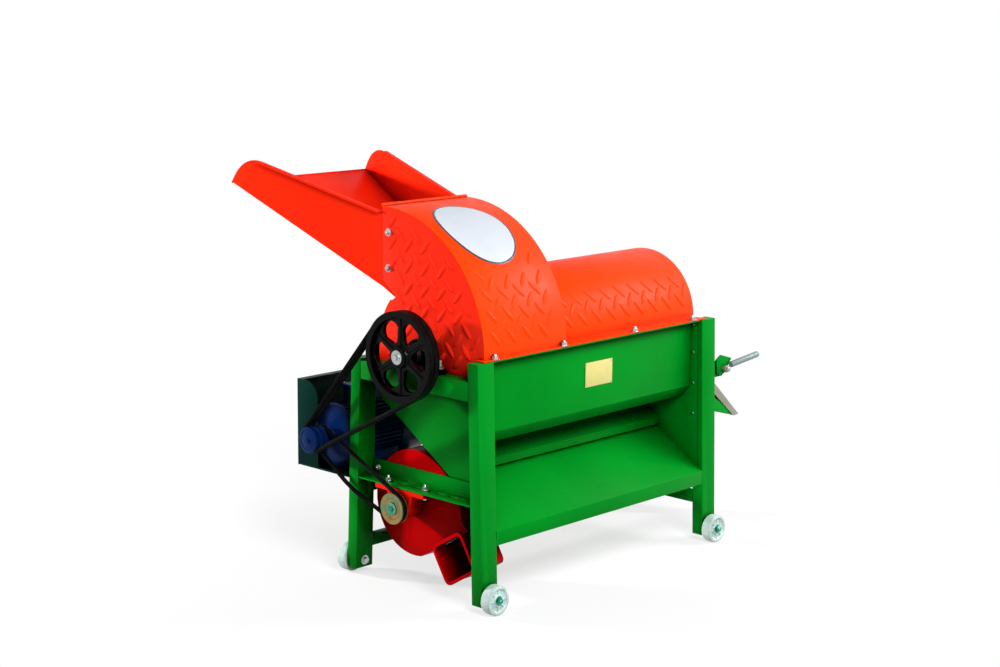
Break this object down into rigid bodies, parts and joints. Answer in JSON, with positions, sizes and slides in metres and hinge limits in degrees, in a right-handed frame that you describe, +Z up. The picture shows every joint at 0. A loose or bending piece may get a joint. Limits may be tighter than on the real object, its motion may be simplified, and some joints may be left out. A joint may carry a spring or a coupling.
{
  "type": "corn sheller",
  "caption": "Electric corn sheller: a beater-bar drum under a sheet cover and feed hopper, on a wheeled stand with a grain tray, belt-driven fan, motor and cob outlet gate.",
  "frame": {"origin": "middle of the outline on the floor, under the wheels", "axes": "+X along the drum from the pulleys to the cob outlet, +Y from the grain tray to the motor and hopper mouth, +Z up"},
  "size_m": [1.2718, 0.9732, 1.1156],
  "materials": {
    "green_paint": "gloss",
    "orange_paint": "gloss",
    "red_paint": "gloss",
    "dark_red_paint": "gloss",
    "blue_paint": "hammered gloss",
    "teal_paint": "satin",
    "black_paint": "painted black",
    "rubber": "matte",
    "zinc": "zinc plated",
    "yellow_zinc": "yellow zinc plated",
    "steel": "machined",
    "nylon": "smooth",
    "bare_sheet": "weathered bare sheet",
    "white_film": "film",
    "yellow_plate": "film"
  },
  "bodies": {
    "frame": {"leg_front_left": "green_paint", "leg_front_right": "green_paint", "leg_back_left": "green_paint", "leg_back_right": "green_paint", "top_rail_front": "green_paint", "top_rail_back": "green_paint", "front_panel": "green_paint", "back_panel": "green_paint", "grain_tray": "green_paint", "grain_board": "green_paint", "end_plate_left": "green_paint", "end_plate_right": "green_paint", "top_cross_left": "green_paint", "top_cross_right": "green_paint", "fan_bearer": "green_paint", "low_cross_right": "green_paint", "low_rail_back": "green_paint", "motor_rail": "green_paint", "cob_chute": "green_paint", "gate_bracket": "green_paint", "drum_cover": "orange_paint", "hood": "orange_paint", "hood_side_left": "red_paint", "hood_side_right": "red_paint", "hopper": "red_paint", "fan_bearing": "red_paint", "fan_casing": "dark_red_paint", "motor_casing": "blue_paint", "motor_cowl": "blue_paint", "terminal_box": "blue_paint", "motor_guard": "teal_paint", "motor_plate": "teal_paint", "drum_bearing_left": "black_paint", "drum_bearing_right": "black_paint", "main_belt_outer": "rubber", "main_belt_inner": "rubber", "fan_belt": "rubber", "wheel_bolt_front_left": "zinc", "wheel_bolt_front_right": "zinc", "wheel_bolt_back_left": "zinc", "wheel_bolt_back_right": "zinc", "concave_screen": "steel", "oval_badge": "white_film", "nameplate": "yellow_plate"},
    "drum": {"drum_shaft": "steel", "drum_rotor": "steel", "drum_pulley": "black_paint"},
    "motor_rotor": {"motor_shaft": "steel", "motor_pulley": "blue_paint"},
    "fan_rotor": {"fan_shaft": "zinc", "fan_impeller": "steel", "fan_pulley": "yellow_zinc"},
    "gate": {"gate_flap": "bare_sheet", "gate_lever": "green_paint", "gate_handle": "zinc"},
    "wheel_front_left_body": {"wheel_front_left": "nylon"},
    "wheel_front_right_body": {"wheel_front_right": "nylon"},
    "wheel_back_left_body": {"wheel_back_left": "nylon"},
    "wheel_back_right_body": {"wheel_back_right": "nylon"}
  },
  "joints": [
    {"name": "drum_spin", "type": "hinge", "parent": "frame", "child": "drum", "pos_m": [-0.06606, -0.18843, 0.651], "axis": [1, 0, 0], "continuous": true},
    {"name": "motor_spin", "type": "hinge", "parent": "frame", "child": "motor_rotor", "pos_m": [-0.58606, 0.16257, 0.37], "axis": [1, 0, 0], "continuous": true},
    {"name": "fan_spin", "type": "hinge", "parent": "frame", "child": "fan_rotor", "pos_m": [-0.56606, -0.12943, 0.228], "axis": [1, 0, 0], "continuous": true},
    {"name": "gate_swing", "type": "hinge", "parent": "frame", "child": "gate", "pos_m": [0.47744, -0.18343, 0.499], "axis": [0, 1, 0], "range_deg": [-45, 0]},
    {"name": "wheel_front_left_spin", "type": "hinge", "parent": "frame", "child": "wheel_front_left_body", "pos_m": [-0.53106, -0.45727, 0.04], "axis": [0, 1, 0], "continuous": true},
    {"name": "wheel_front_right_spin", "type": "hinge", "parent": "frame", "child": "wheel_front_right_body", "pos_m": [0.39894, -0.45727, 0.04], "axis": [0, 1, 0], "continuous": true},
    {"name": "wheel_back_left_spin", "type": "hinge", "parent": "frame", "child": "wheel_back_left_body", "pos_m": [-0.53106, 0.0904, 0.04], "axis": [0, 1, 0], "continuous": true},
    {"name": "wheel_back_right_spin", "type": "hinge", "parent": "frame", "child": "wheel_back_right_body", "pos_m": [0.39894, 0.0904, 0.04], "axis": [0, 1, 0], "continuous": true}
  ],
  "couplings": [
    {"joint": "motor_spin", "follows": "drum_spin", "ratio": 3.2432},
    {"joint": "fan_spin", "follows": "drum_spin", "ratio": 2.8571}
  ]
}
